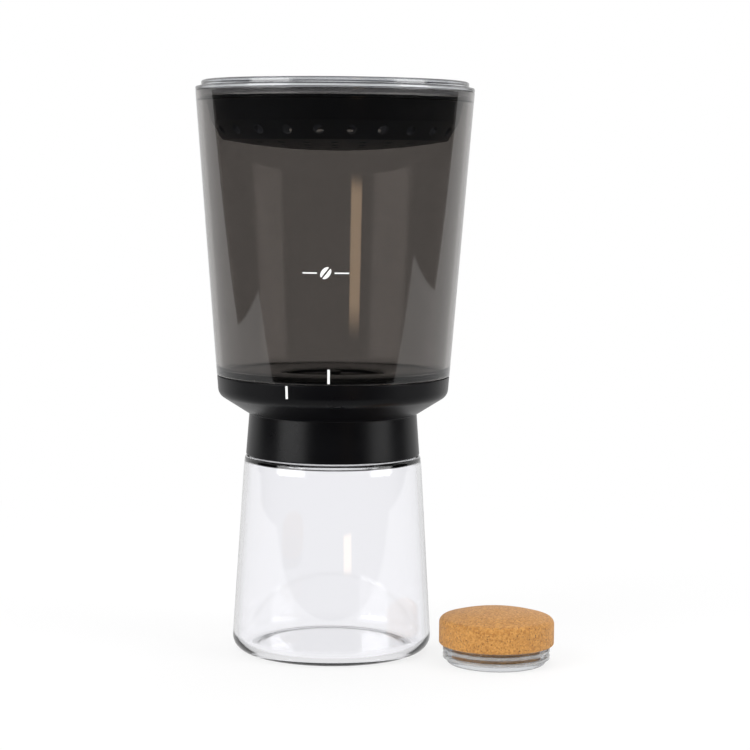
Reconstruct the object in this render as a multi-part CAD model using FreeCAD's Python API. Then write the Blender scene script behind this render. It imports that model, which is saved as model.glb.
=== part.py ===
"""Cold brew coffee maker: glass carafe, black collar with a twist valve, smoke tinted brew chamber, rain dish, lid
and cork stopper.

Millimetres and degrees. The origin is the centre of the carafe's flat base, +Z is up and the front faces -Y.
"""

import FreeCAD, Part
import math
import os
from FreeCAD import Vector

# Driving dimensions: carafe
CARAFE_FOOT_R = 48.0
CARAFE_SHOULDER_R = 42.2
CARAFE_SHOULDER_Z = 93.6
CARAFE_WALL = 2.2
CARAFE_BASE = 5.0
CARAFE_INNER_CORNER = 3.0
CARAFE_FOOT_ROUND = 7.0
CARAFE_SHOULDER_ROUND = 4.0
SHOULDER_RISE = 2.4
NECK_R = 28.4
NECK_BORE_R = 25.5
NECK_TOP_Z = 110.0
LIP_OUT = 1.8
LIP_HEIGHT = 3.0

# Driving dimensions: collar
COLLAR_WALL = 2.2
SKIRT_BOTTOM_R = 41.5
SKIRT_TOP_R = 40.0
SKIRT_HEIGHT = 18.9
SKIRT_STEP_OUT = 1.9
SKIRT_STEP_UP = 1.1
DRUM_R = 55.4
DRUM_TAPER = 0.7
DRUM_ROUND = 6.0
DRUM_HEIGHT = 9.7
CONE_HEIGHT = 8.1
SHELF_LIFT = 1.2
SHELF_WIDTH = 7.7
SHELF_THICKNESS = 2.0
LEDGE_LIFT = 1.1
LEDGE_WIDTH = 1.2
LEDGE_THICKNESS = 2.0
SPOUT_BORE_R = 6.0
SPOUT_DROP = 7.3
SPIGOT_DROP = 7.3
SPIGOT_WALL = 1.7
CORE_WALL = 1.8
FUNNEL_RISE = 2.0
FUNNEL_LIFT = 0.2
GASKET_THICKNESS = 1.8
GASKET_SLEEVE = 1.0
SWIVEL_SEAL_HEIGHT = 1.6

# Driving dimensions: brew chamber
CHAMBER_TOP_R = 65.9
CHAMBER_HEIGHT = 134.0
CHAMBER_WALL = 2.6
CHAMBER_FLOOR = 2.5
CHAMBER_FLOOR_LIFT = 1.2
CHAMBER_PROUD = 0.1
CHAMBER_SPIGOT_WALL = 2.4
CHAMBER_CORNER = 3.0
RIM_WALL = 1.6
RIM_DEPTH = 4.5
WELL_R = 24.8
WELL_DEPTH = 3.9
CUP_R = 18.0
CUP_DEPTH = 4.2
CUP_WALL = 1.7
DRAIN_R = 5.5

# Driving dimensions: valve
VALVE_LIFT = 2.5
TWIST_TRAVEL = 22.0
STEM_R = 2.0
SEAL_R = 8.2
SEAL_THICKNESS = 1.8
SEAL_CHAMFER = 0.6
SEAL_PLUG_TAPER = 0.8
STEM_HEAD_R = 4.2
STEM_HEAD = 1.2
STEM_TIP = 0.6
FOLLOWER_REACH = 16.8
FOLLOWER_ARM = 3.0
FOLLOWER_THICKNESS = 1.7
FOLLOWER_HUB_R = 6.2
GUIDE_REACH = 17.6
GUIDE_FINGER = 2.8
GUIDE_ARM_THICKNESS = 1.8
GUIDE_HUB_WALL = 1.7
GUIDE_HUB_DROP = 1.2
CAM_INNER_R = 10.0
CAM_OUTER_R = 14.0
CAM_COUNT = 3
CAM_DWELL = 6.0
CAM_STEPS = 4
SPRING_WIRE = 0.8
SPRING_R = 5.3
SPRING_TURNS = 3.0
CLIP_R = 3.6
CLIP_THICKNESS = 0.8
CLIP_GROOVE = 0.5

# Driving dimensions: filter
FILTER_RING = 2.2
FILTER_LIP = 1.7
FILTER_LIP_THICKNESS = 0.9
FILTER_HEIGHT = 2.4
MESH_THICKNESS = 0.3
FILTER_GASKET_THICKNESS = 0.8
FILTER_SPOKES = 4
FILTER_SPOKE_WIDTH = 1.8
FILTER_KNOB_R = 3.5
FILTER_KNOB = 2.6

# Driving dimensions: rain dish
DISH_WALL = 1.8
DISH_FLANGE = 1.6
DISH_FLANGE_WIDTH = 2.95
DISH_SIDE_TAPER = 2.1
DISH_SIDE_DEPTH = 8.7
DISH_BAND_WIDTH = 4.5
DISH_BAND_INSET = 1.1
DISH_BAND_DEPTH = 6.3
DISH_DOME_DEPTH = 8.1
DISH_DOME_SHARES = (0.66, 0.28)
DRILL_LENGTH = 32.0
SIDE_HOLE_R = 2.4
SIDE_HOLES = 24
SIDE_HOLE_SIDES = 8
DRIP_HOLE_R = 1.7
DRIP_HOLE_SIDES = 6
DRIP_RING_SHARES = (5 / 6, 4 / 6, 3 / 6, 2 / 6)
DRIP_RING_HOLES = (22, 18, 14, 9)

# Driving dimensions: lid
LID_FLANGE = 1.9
LID_RING_STEP = 2.7
LID_RING = 2.9
LID_RING_WIDTH = 3.0
LID_PLATE = 2.0
LID_PLATE_LIFT = 0.8
LID_SKIRT_WALL = 1.6
LID_SKIRT_DROP = 2.4

# Driving dimensions: stopper
STOPPER_X = 77.5
STOPPER_Y = -30.0
PLUG_R = 24.0
PLUG_TAPER = 0.8
PLUG_HEIGHT = 9.0
PLUG_WALL = 2.2
CORK_R = 27.0
CORK_SIDE = 12.0
CORK_DOME = 4.2
CORK_ROUND = 3.0
CORK_CROWN = (0.6, 0.7)
RING_OUT = 1.1
RING_HEIGHT = 1.4
RING_HEIGHTS = (2.6, 5.8)

# Chords that stand for one rounded corner
ROUND_CHORDS = 3

# Named clearances
SEAT_GAP = 0.3
RUNNING_FIT = 0.06
CAM_GAP = 0.3
SLIDE_GAP = 0.2
LOOSE_FIT = 0.4
PRESS_FIT = 0.02

# Places worked out from the driving dimensions: carafe and collar
SHOULDER_SLOPE = SHOULDER_RISE / (CARAFE_SHOULDER_R - NECK_R)
SKIRT_REACH = CARAFE_SHOULDER_R - SKIRT_BOTTOM_R + COLLAR_WALL
SKIRT_Z = CARAFE_SHOULDER_Z + SHOULDER_SLOPE * SKIRT_REACH + SEAT_GAP
SKIRT_TOP_Z = SKIRT_Z + SKIRT_HEIGHT
CONE_R = SKIRT_TOP_R + SKIRT_STEP_OUT
CONE_Z = SKIRT_TOP_Z + SKIRT_STEP_UP
DRUM_Z = CONE_Z + CONE_HEIGHT
JOINT_Z = DRUM_Z + DRUM_HEIGHT
DRUM_BORE_R = DRUM_R - COLLAR_WALL
SHELF_Z = DRUM_Z + SHELF_LIFT
SHELF_R = DRUM_BORE_R - SHELF_WIDTH
WEB_Z = NECK_TOP_Z + GASKET_THICKNESS
LEDGE_Z = CONE_Z + LEDGE_LIFT
LEDGE_R = SKIRT_TOP_R - COLLAR_WALL - LEDGE_WIDTH
CORE_R = LEDGE_R - SEAT_GAP
FUNNEL_Z = WEB_Z + FUNNEL_RISE + FUNNEL_LIFT

# Places worked out: chamber, valve and filter
CHAMBER_Z = JOINT_Z + SEAT_GAP
CHAMBER_BOTTOM_R = DRUM_R + CHAMBER_PROUD
CHAMBER_RIM_Z = CHAMBER_Z + CHAMBER_HEIGHT
CHAMBER_SLOPE = (CHAMBER_TOP_R - CHAMBER_BOTTOM_R) / CHAMBER_HEIGHT
WALL_ACROSS = CHAMBER_WALL * math.hypot(1.0, CHAMBER_SLOPE)
FLOOR_TOP_Z = CHAMBER_Z + CHAMBER_FLOOR_LIFT
FLOOR_Z = FLOOR_TOP_Z - CHAMBER_FLOOR
CHAMBER_SPIGOT_R = DRUM_BORE_R - SEAT_GAP
CHAMBER_SPIGOT_Z = SHELF_Z + SWIVEL_SEAL_HEIGHT
RIM_LEDGE_Z = CHAMBER_RIM_Z - RIM_DEPTH
WELL_Z = FLOOR_TOP_Z - WELL_DEPTH
SEAT_Z = WELL_Z - CUP_DEPTH
CUP_UNDER_Z = SEAT_Z - CUP_WALL
FOLLOWER_Z = FUNNEL_Z + SLIDE_GAP
FOLLOWER_TOP_Z = FOLLOWER_Z + FOLLOWER_THICKNESS
GUIDE_ARM_Z = CUP_UNDER_Z - GUIDE_ARM_THICKNESS
GUIDE_TIP_Z = FOLLOWER_Z + LOOSE_FIT
CAM_LOW_Z = FOLLOWER_Z - CAM_GAP
ARM_ANGLES = [90.0 + 360.0 * k / CAM_COUNT for k in range(CAM_COUNT)]
FILTER_R = WELL_R - SEAT_GAP
FILTER_Z = WELL_Z + FILTER_GASKET_THICKNESS
MESH_Z = FILTER_Z + FILTER_LIP_THICKNESS
MESH_R = FILTER_R - FILTER_RING

# Places worked out: dish, lid and stopper
RIM_BORE_R = CHAMBER_TOP_R - RIM_WALL
DISH_FLANGE_R = RIM_BORE_R - LOOSE_FIT - CHAMBER_SLOPE * RIM_DEPTH
DISH_SIDE_TOP_R = DISH_FLANGE_R - DISH_FLANGE_WIDTH
DISH_SIDE_R = DISH_SIDE_TOP_R - DISH_SIDE_TAPER
DISH_BAND_R = DISH_SIDE_R - DISH_BAND_WIDTH
DISH_SIDE_Z = RIM_LEDGE_Z - DISH_SIDE_DEPTH
DISH_BAND_Z = DISH_SIDE_Z - DISH_BAND_DEPTH
DISH_BOTTOM_Z = DISH_BAND_Z - DISH_DOME_DEPTH
LID_RING_R = CHAMBER_TOP_R - LID_RING_STEP
LID_TOP_Z = CHAMBER_RIM_Z + LID_FLANGE
LID_PLATE_Z = LID_TOP_Z + LID_PLATE_LIFT
CORK_Z = PLUG_HEIGHT


def point(r, z):
    """A point of a half section: r from the axis, z up."""
    return Vector(r, 0.0, z)


def rounded(corner, back, ahead):
    """The points that stand for a rounded corner: short chords of the arc that touches both its sides."""
    here = point(corner[0], corner[1])
    if len(corner) < 3:
        return [here]
    back_way = (back - here).normalize()
    ahead_way = (ahead - here).normalize()
    half = back_way.getAngle(ahead_way) / 2.0
    centre = here + (back_way + ahead_way).normalize() * (corner[2] / math.sin(half))
    start = here + back_way * (corner[2] / math.tan(half)) - centre
    end = here + ahead_way * (corner[2] / math.tan(half)) - centre
    turn = start.getAngle(end)
    spots = []
    for k in range(ROUND_CHORDS + 1):
        share = k / ROUND_CHORDS
        mix = start * (math.sin((1 - share) * turn) / math.sin(turn)) + end * (math.sin(share * turn) / math.sin(turn))
        spots.append(centre + mix)
    return spots


def half_section(corners):
    """A closed face in the XZ plane. Each corner is (r, z), or (r, z, radius) where it is rounded off."""
    count = len(corners)
    spots = []
    for i, corner in enumerate(corners):
        back = point(*corners[i - 1][:2])
        ahead = point(*corners[(i + 1) % count][:2])
        spots += rounded(corner, back, ahead)
    return Part.Face(Part.makePolygon(spots + [spots[0]]))


def turned(corners):
    """The solid that a half section sweeps round the Z axis."""
    return half_section(corners).revolve(Vector(0, 0, 0), Vector(0, 0, 1), 360)


def ring(inner, outer, low, high):
    """A plain ring."""
    return turned([(inner, low), (outer, low), (outer, high), (inner, high)])


def bar(start, end, width, low, high, angle):
    """A radial bar from radius start to radius end, turned to an angle about the Z axis."""
    box = Part.makeBox(end - start, width, high - low, Vector(start, -width / 2.0, low))
    box.rotate(Vector(0, 0, 0), Vector(0, 0, 1), angle)
    return box


def save(name, shape):
    """One solid or group of solids becomes one named file."""
    shape.exportStep("parts/" + name + ".step")
    print(name, "solids", len(shape.Solids), "valid", shape.isValid(), "volume", round(shape.Volume, 1))


def drum_corner_r():
    """Radius of the drum where the cone meets it."""
    return DRUM_R - DRUM_TAPER


def cone_slope():
    """Rise of the collar's cone for each millimetre outward."""
    return CONE_HEIGHT / (drum_corner_r() - CONE_R)


def inner_cone_r(z):
    """Radius of the collar's inner cone face at a height."""
    slope = cone_slope()
    lift = COLLAR_WALL * math.hypot(1.0, slope)
    return CONE_R + (z - CONE_Z - lift) / slope


def carafe_outer_r(z):
    """Outside radius of the carafe's straight wall at a height."""
    return CARAFE_FOOT_R - (CARAFE_FOOT_R - CARAFE_SHOULDER_R) * z / CARAFE_SHOULDER_Z


def chamber_inner_r(z):
    """Inside radius of the brew chamber's wall at a height."""
    return CHAMBER_BOTTOM_R + CHAMBER_SLOPE * (z - CHAMBER_Z) - WALL_ACROSS


def funnel_top_z(r):
    """Height of the funnel's upper face at a radius."""
    return FUNNEL_Z - FUNNEL_RISE * (CORE_R - CORE_WALL - r) / (CORE_R - CORE_WALL - SPOUT_BORE_R)


def make_carafe_glass():
    """Blown glass with a thick base, straight tapered wall, round shoulder and a short lipped neck."""
    neck_z = CARAFE_SHOULDER_Z + SHOULDER_RISE
    inner_shoulder_z = CARAFE_SHOULDER_Z - CARAFE_WALL
    inner_shoulder_r = carafe_outer_r(inner_shoulder_z) - CARAFE_WALL
    inner_foot_r = carafe_outer_r(CARAFE_BASE) - CARAFE_WALL
    lip_z = NECK_TOP_Z - LIP_HEIGHT
    return turned([
        (0, 0),
        (CARAFE_FOOT_R, 0, CARAFE_FOOT_ROUND),
        (CARAFE_SHOULDER_R, CARAFE_SHOULDER_Z, CARAFE_SHOULDER_ROUND),
        (NECK_R, neck_z),
        (NECK_R, lip_z),
        (NECK_R + LIP_OUT, lip_z + LIP_OUT),
        (NECK_R + LIP_OUT, NECK_TOP_Z),
        (NECK_BORE_R, NECK_TOP_Z),
        (NECK_BORE_R, neck_z - CARAFE_WALL),
        (inner_shoulder_r, inner_shoulder_z),
        (inner_foot_r, CARAFE_BASE + CARAFE_INNER_CORNER),
        (inner_foot_r - CARAFE_INNER_CORNER, CARAFE_BASE),
        (0, CARAFE_BASE),
    ])


def make_collar_shell():
    """The black outer shell: skirt, stepped crease, cone, round corner and drum, with two shelves inside."""
    shelf_under = SHELF_Z - SHELF_THICKNESS
    ledge_under = LEDGE_Z - LEDGE_THICKNESS
    return turned([
        (SKIRT_BOTTOM_R, SKIRT_Z),
        (SKIRT_TOP_R, SKIRT_TOP_Z),
        (CONE_R, CONE_Z),
        (drum_corner_r(), DRUM_Z, DRUM_ROUND),
        (DRUM_R, JOINT_Z),
        (DRUM_BORE_R, JOINT_Z),
        (DRUM_BORE_R, SHELF_Z),
        (SHELF_R, SHELF_Z),
        (SHELF_R, shelf_under),
        (inner_cone_r(shelf_under), shelf_under),
        (inner_cone_r(LEDGE_Z), LEDGE_Z),
        (LEDGE_R, LEDGE_Z),
        (LEDGE_R, ledge_under),
        (SKIRT_TOP_R - COLLAR_WALL, ledge_under),
        (SKIRT_BOTTOM_R - COLLAR_WALL, SKIRT_Z),
    ])


def make_cam(angle):
    """One helical ramp. It starts beside a follower arm and climbs the valve's lift over the twist."""
    half_arm = math.degrees(math.asin(FOLLOWER_ARM / 2.0 / CAM_INNER_R))
    sections = []
    for step in range(CAM_STEPS + 2):
        climb = min(step, CAM_STEPS) / CAM_STEPS
        turn = angle - half_arm - climb * TWIST_TRAVEL
        if step > CAM_STEPS:
            turn -= CAM_DWELL
        top = CAM_LOW_Z + climb * VALVE_LIFT
        low = funnel_top_z(CAM_INNER_R) - CORE_WALL / 2.0
        corners = [(CAM_INNER_R, low), (CAM_OUTER_R, low), (CAM_OUTER_R, top), (CAM_INNER_R, top), (CAM_INNER_R, low)]
        wire = Part.makePolygon([point(r, z) for r, z in corners])
        wire.rotate(Vector(0, 0, 0), Vector(0, 0, 1), turn)
        sections.append(wire)
    return Part.makeLoft(sections, True, True)


def make_collar_core():
    """Funnel that gathers the brew, with its spout, the spigot that centres it in the neck and the cam ramps."""
    spigot_r = NECK_BORE_R - SLIDE_GAP - GASKET_SLEEVE
    funnel_r = CORE_R - CORE_WALL
    flange_r = inner_cone_r(LEDGE_Z) - SEAT_GAP
    spout_r = SPOUT_BORE_R + CORE_WALL
    under = WEB_Z - CORE_WALL
    body = turned([
        (flange_r, LEDGE_Z),
        (flange_r, LEDGE_Z + CORE_WALL),
        (funnel_r, LEDGE_Z + CORE_WALL),
        (funnel_r, FUNNEL_Z),
        (SPOUT_BORE_R, FUNNEL_Z - FUNNEL_RISE),
        (SPOUT_BORE_R, WEB_Z - CORE_WALL - SPOUT_DROP),
        (spout_r, WEB_Z - CORE_WALL - SPOUT_DROP),
        (spout_r, under),
        (spigot_r - SPIGOT_WALL, WEB_Z - CORE_WALL / 2.0),
        (spigot_r - SPIGOT_WALL, WEB_Z - SPIGOT_DROP),
        (spigot_r, WEB_Z - SPIGOT_DROP),
        (spigot_r, WEB_Z),
        (CORE_R, WEB_Z),
        (CORE_R, LEDGE_Z),
    ])
    return body.fuse([make_cam(angle) for angle in ARM_ANGLES]).removeSplitter()


def make_carafe_gasket():
    """Silicone ring with a flange that lies on the glass lip and a sleeve inside the neck."""
    sleeve_r = NECK_BORE_R - SLIDE_GAP - GASKET_SLEEVE
    return turned([
        (sleeve_r, WEB_Z),
        (sleeve_r, WEB_Z - SPIGOT_DROP + GASKET_SLEEVE),
        (NECK_BORE_R - SLIDE_GAP, WEB_Z - SPIGOT_DROP + GASKET_SLEEVE),
        (NECK_BORE_R - SLIDE_GAP, NECK_TOP_Z),
        (NECK_R + LIP_OUT - SEAT_GAP, NECK_TOP_Z),
        (NECK_R + LIP_OUT - SEAT_GAP, WEB_Z),
    ])


def make_swivel_seal():
    """The ring that the chamber turns on, between its spigot and the collar's shelf."""
    return ring(CHAMBER_SPIGOT_R - 2.0 * CHAMBER_SPIGOT_WALL, CHAMBER_SPIGOT_R, SHELF_Z, CHAMBER_SPIGOT_Z)


def make_brew_chamber():
    """Smoke tinted chamber: tapered wall, thinned rim over a ledge, floor with a well, a cup and the drain seat."""
    spigot_in = CHAMBER_SPIGOT_R - CHAMBER_SPIGOT_WALL
    rim_foot_r = RIM_BORE_R - CHAMBER_SLOPE * RIM_DEPTH
    corner_z = FLOOR_TOP_Z + CHAMBER_CORNER
    return turned([
        (CHAMBER_BOTTOM_R, CHAMBER_Z),
        (CHAMBER_TOP_R, CHAMBER_RIM_Z),
        (RIM_BORE_R, CHAMBER_RIM_Z),
        (rim_foot_r, RIM_LEDGE_Z),
        (chamber_inner_r(RIM_LEDGE_Z), RIM_LEDGE_Z),
        (chamber_inner_r(corner_z), corner_z),
        (chamber_inner_r(FLOOR_TOP_Z) - CHAMBER_CORNER, FLOOR_TOP_Z),
        (WELL_R, FLOOR_TOP_Z),
        (WELL_R, WELL_Z),
        (CUP_R, WELL_Z),
        (CUP_R, SEAT_Z),
        (DRAIN_R, SEAT_Z),
        (DRAIN_R, CUP_UNDER_Z),
        (CUP_R + CUP_WALL, CUP_UNDER_Z),
        (CUP_R + CUP_WALL, WELL_Z - CUP_WALL),
        (WELL_R + CUP_WALL, WELL_Z - CUP_WALL),
        (WELL_R + CUP_WALL, FLOOR_Z),
        (spigot_in, FLOOR_Z),
        (spigot_in, CHAMBER_SPIGOT_Z),
        (CHAMBER_SPIGOT_R, CHAMBER_SPIGOT_Z),
        (CHAMBER_SPIGOT_R, CHAMBER_Z),
    ])


def make_valve_guide():
    """Spider under the cup: a hub for the stem and three slotted fingers that keep the follower from turning."""
    hub_r = STEM_R + RUNNING_FIT
    guide = ring(hub_r, hub_r + GUIDE_HUB_WALL, GUIDE_ARM_Z - GUIDE_HUB_DROP, CUP_UNDER_Z)
    slot_width = FOLLOWER_ARM + 2.0 * SLIDE_GAP
    finger_width = slot_width + 2.0 * GUIDE_ARM_THICKNESS
    slot_top = FOLLOWER_TOP_Z + VALVE_LIFT + SLIDE_GAP
    pieces = []
    for angle in ARM_ANGLES:
        arm = bar(hub_r + GUIDE_HUB_WALL / 2.0, GUIDE_REACH, FOLLOWER_ARM, GUIDE_ARM_Z, CUP_UNDER_Z, angle)
        finger = bar(GUIDE_REACH - GUIDE_FINGER, GUIDE_REACH, finger_width, GUIDE_TIP_Z, CUP_UNDER_Z, angle)
        slot = bar(GUIDE_REACH - 2 * GUIDE_FINGER, 2 * GUIDE_REACH, slot_width, WEB_Z, slot_top, angle)
        pieces.append(arm.fuse(finger).cut(slot))
    return guide.fuse(pieces).removeSplitter()


def make_valve_stem():
    """Stem with the head that holds the seal and the groove of the clip."""
    clip_z = FOLLOWER_Z - CLIP_THICKNESS
    groove_r = STEM_R - CLIP_GROOVE
    head_z = SEAT_Z + SEAL_THICKNESS
    return turned([
        (0, clip_z - STEM_TIP),
        (STEM_R, clip_z - STEM_TIP),
        (STEM_R, clip_z),
        (groove_r, clip_z),
        (groove_r, FOLLOWER_Z),
        (STEM_R, FOLLOWER_Z),
        (STEM_R, head_z),
        (STEM_HEAD_R, head_z),
        (STEM_HEAD_R, head_z + STEM_HEAD),
        (0, head_z + STEM_HEAD),
    ])


def make_valve_seal():
    """Silicone disc with a plug below it that sits in the drain."""
    bore = STEM_R + PRESS_FIT
    plug_r = DRAIN_R - SEAT_GAP
    return turned([
        (bore, SEAT_Z + SEAL_THICKNESS),
        (SEAL_R, SEAT_Z + SEAL_THICKNESS - SEAL_CHAMFER),
        (SEAL_R, SEAT_Z),
        (plug_r, SEAT_Z),
        (plug_r - SEAL_PLUG_TAPER, CUP_UNDER_Z + SEAT_GAP),
        (bore, CUP_UNDER_Z + SEAT_GAP),
    ])


def make_cam_follower():
    """Three armed foot on the stem. Its arms ride up the cam ramps when the chamber is turned."""
    bore = STEM_R + PRESS_FIT
    hub = ring(bore, FOLLOWER_HUB_R, FOLLOWER_Z, FOLLOWER_TOP_Z)
    arms = [
        bar(FOLLOWER_HUB_R / 2.0, FOLLOWER_REACH, FOLLOWER_ARM, FOLLOWER_Z, FOLLOWER_TOP_Z, angle)
        for angle in ARM_ANGLES
    ]
    return hub.fuse(arms).removeSplitter()


def make_stem_clip():
    """Snap ring in the stem's groove, under the follower."""
    return ring(STEM_R - CLIP_GROOVE + PRESS_FIT, CLIP_R, FOLLOWER_Z - CLIP_THICKNESS, FOLLOWER_Z)


def make_valve_spring():
    """Return spring of square wire between the follower and the guide's arms."""
    low = FOLLOWER_TOP_Z
    high = GUIDE_ARM_Z
    pitch = (high - low - SPRING_WIRE) / SPRING_TURNS
    path = Part.makeHelix(pitch, high - low - SPRING_WIRE, SPRING_R)
    path.translate(Vector(0, 0, low + SPRING_WIRE / 2.0))
    half = SPRING_WIRE / 2.0
    corners = [(-half, -half), (half, -half), (half, half), (-half, half), (-half, -half)]
    section = Part.makePolygon([point(SPRING_R + x, low + SPRING_WIRE / 2.0 + z) for x, z in corners])
    return Part.Wire(path.Edges).makePipeShell([section], True, True)


def make_filter_frame():
    """Ring that holds the mesh on its lip, with spokes and a lifting knob above it."""
    lip_r = MESH_R - FILTER_LIP
    spoke_z = MESH_Z + MESH_THICKNESS
    top = FILTER_Z + FILTER_HEIGHT
    body = turned([
        (lip_r, FILTER_Z),
        (FILTER_R, FILTER_Z),
        (FILTER_R, top),
        (MESH_R, top),
        (MESH_R, MESH_Z),
        (lip_r, MESH_Z),
    ])
    step = 360.0 / FILTER_SPOKES
    spokes = [
        bar(0.0, MESH_R + FILTER_RING / 2.0, FILTER_SPOKE_WIDTH, spoke_z, top, step * k)
        for k in range(FILTER_SPOKES)
    ]
    knob = Part.makeCylinder(FILTER_KNOB_R, FILTER_KNOB, Vector(0, 0, spoke_z))
    return body.fuse(spokes + [knob]).removeSplitter()


def make_filter_mesh():
    """Fine steel mesh disc, lying on the frame's lip under the spokes."""
    return Part.makeCylinder(MESH_R - RUNNING_FIT, MESH_THICKNESS, Vector(0, 0, MESH_Z))


def make_filter_gasket():
    """Flat silicone ring between the filter frame and the step of the well."""
    return ring(CUP_R + SEAT_GAP, FILTER_R, WELL_Z, FILTER_Z)


def prism(radius, sides, height):
    """Upright prism of a regular polygon whose area is close to a circle's, centred on the origin."""
    circum = radius * math.sqrt(math.tau / (sides * math.sin(math.tau / sides)))
    spots = [
        Vector(circum * math.cos(math.tau * k / sides), circum * math.sin(math.tau * k / sides), -height / 2.0)
        for k in range(sides + 1)
    ]
    return Part.Face(Part.makePolygon(spots)).extrude(Vector(0, 0, height))


def make_rain_dish():
    """Black dish that rains the water on the grounds: flange, wall, steep band of large holes, domed drip floor."""
    inner_side_r = DISH_SIDE_R - DISH_WALL
    inner_band_r = DISH_BAND_R - DISH_BAND_INSET
    top = RIM_LEDGE_Z + DISH_FLANGE
    dome = [
        (DISH_BAND_R * share, DISH_BOTTOM_Z + DISH_DOME_DEPTH * share * share)
        for share in DISH_DOME_SHARES
    ]
    dish = turned(
        [(0, dome[-1][1]), (0, dome[-1][1] + DISH_WALL)]
        + [(r, z + DISH_WALL) for r, z in reversed(dome)]
        + [
            (inner_band_r, DISH_BAND_Z + DISH_WALL),
            (inner_side_r, DISH_SIDE_Z + DISH_WALL / 2.0),
            (DISH_SIDE_TOP_R - DISH_WALL, top),
            (DISH_FLANGE_R, top),
            (DISH_FLANGE_R, RIM_LEDGE_Z),
            (DISH_SIDE_TOP_R, RIM_LEDGE_Z),
            (DISH_SIDE_R, DISH_SIDE_Z),
            (DISH_BAND_R, DISH_BAND_Z),
        ]
        + dome
    )
    holes = []
    tilt = math.degrees(math.atan2(DISH_BAND_DEPTH, DISH_SIDE_R - DISH_BAND_R))
    for k in range(SIDE_HOLES):
        hole = prism(SIDE_HOLE_R, SIDE_HOLE_SIDES, 4 * DISH_WALL)
        hole.rotate(Vector(0, 0, 0), Vector(0, 1, 0), -tilt)
        hole.translate(point((DISH_SIDE_R + DISH_BAND_R) / 2.0, (DISH_SIDE_Z + DISH_BAND_Z) / 2.0))
        hole.rotate(Vector(0, 0, 0), Vector(0, 0, 1), 360.0 * (k + 0.5) / SIDE_HOLES)
        holes.append(hole)
    for share, count in zip(DRIP_RING_SHARES, DRIP_RING_HOLES):
        for k in range(count):
            hole = prism(DRIP_HOLE_R, DRIP_HOLE_SIDES, DRILL_LENGTH)
            hole.translate(point(share * DISH_BAND_R, DISH_BAND_Z))
            hole.rotate(Vector(0, 0, 0), Vector(0, 0, 1), 360.0 * (k + 0.5) / count)
            holes.append(hole)
    return dish.cut(Part.makeCompound(holes))


def make_lid():
    """Clear lid: a flange on the chamber's rim, a raised ring, a sunk plate and a short skirt inside the rim."""
    skirt_r = RIM_BORE_R - LOOSE_FIT
    ring_top = LID_TOP_Z + LID_RING
    return turned([
        (0, LID_PLATE_Z),
        (LID_RING_R - LID_RING_WIDTH, LID_PLATE_Z),
        (LID_RING_R - LID_RING_WIDTH, ring_top),
        (LID_RING_R, ring_top),
        (LID_RING_R, LID_TOP_Z),
        (CHAMBER_TOP_R, LID_TOP_Z),
        (CHAMBER_TOP_R, CHAMBER_RIM_Z),
        (skirt_r, CHAMBER_RIM_Z),
        (skirt_r - CHAMBER_SLOPE * LID_SKIRT_DROP, CHAMBER_RIM_Z - LID_SKIRT_DROP),
        (skirt_r - LID_SKIRT_WALL, CHAMBER_RIM_Z - LID_SKIRT_DROP),
        (skirt_r - LID_SKIRT_WALL, LID_PLATE_Z - LID_PLATE),
        (0, LID_PLATE_Z - LID_PLATE),
    ])


def make_cork_cap():
    """Cork cap with a low dome and a boss that goes down into the clear plug."""
    boss_r = PLUG_R - PLUG_TAPER - PLUG_WALL - LOOSE_FIT
    side_z = CORK_Z + CORK_SIDE
    return turned([
        (0, PLUG_WALL + LOOSE_FIT),
        (boss_r, PLUG_WALL + LOOSE_FIT),
        (boss_r, CORK_Z),
        (CORK_R, CORK_Z),
        (CORK_R, side_z, CORK_ROUND),
        (CORK_R * CORK_CROWN[0], side_z + CORK_DOME * CORK_CROWN[1]),
        (0, side_z + CORK_DOME),
    ])


def make_stopper_plug():
    """Clear cup under the cork."""
    return turned([
        (0, 0),
        (PLUG_R - PLUG_TAPER, 0),
        (PLUG_R, PLUG_HEIGHT),
        (PLUG_R - PLUG_WALL, PLUG_HEIGHT),
        (PLUG_R - PLUG_TAPER - PLUG_WALL, PLUG_WALL),
        (0, PLUG_WALL),
    ])


def make_stopper_rings():
    """Two clear sealing rings round the plug."""
    rings = []
    for low in RING_HEIGHTS:
        slope = PLUG_TAPER / PLUG_HEIGHT
        inner = PLUG_R - PLUG_TAPER + slope * (low + RING_HEIGHT) + PRESS_FIT
        rings.append(ring(inner, PLUG_R + RING_OUT, low, low + RING_HEIGHT))
    return Part.makeCompound(rings)


def beside(shape):
    """The stopper's pieces stand on the floor beside the carafe."""
    shape.translate(Vector(STOPPER_X, STOPPER_Y, 0))
    return shape


def main():
    os.makedirs("parts", exist_ok=True)
    save("carafe_glass", make_carafe_glass())
    save("collar_shell", make_collar_shell())
    save("collar_core", make_collar_core())
    save("carafe_gasket", make_carafe_gasket())
    save("swivel_seal", make_swivel_seal())
    save("brew_chamber", make_brew_chamber())
    save("valve_guide", make_valve_guide())
    save("valve_stem", make_valve_stem())
    save("valve_seal", make_valve_seal())
    save("cam_follower", make_cam_follower())
    save("stem_clip", make_stem_clip())
    save("valve_spring", make_valve_spring())
    save("filter_frame", make_filter_frame())
    save("filter_mesh", make_filter_mesh())
    save("filter_gasket", make_filter_gasket())
    save("rain_dish", make_rain_dish())
    save("lid", make_lid())
    save("cork_cap", beside(make_cork_cap()))
    save("stopper_plug", beside(make_stopper_plug()))
    save("stopper_rings", beside(make_stopper_rings()))


main()
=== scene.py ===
"""Cold brew coffee maker: clear carafe, black collar, smoke tinted brew chamber, rain dish, lid and cork stopper.

Lengths are in metres where Blender takes them and in millimetres in the size fields. The origin is the centre of the
carafe's base, +Z is up and the front faces -Y.
"""

import logging
import math
from dataclasses import dataclass
from enum import Enum
from typing import Any, Sequence

import bpy
from mathutils import Matrix, Vector

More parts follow.
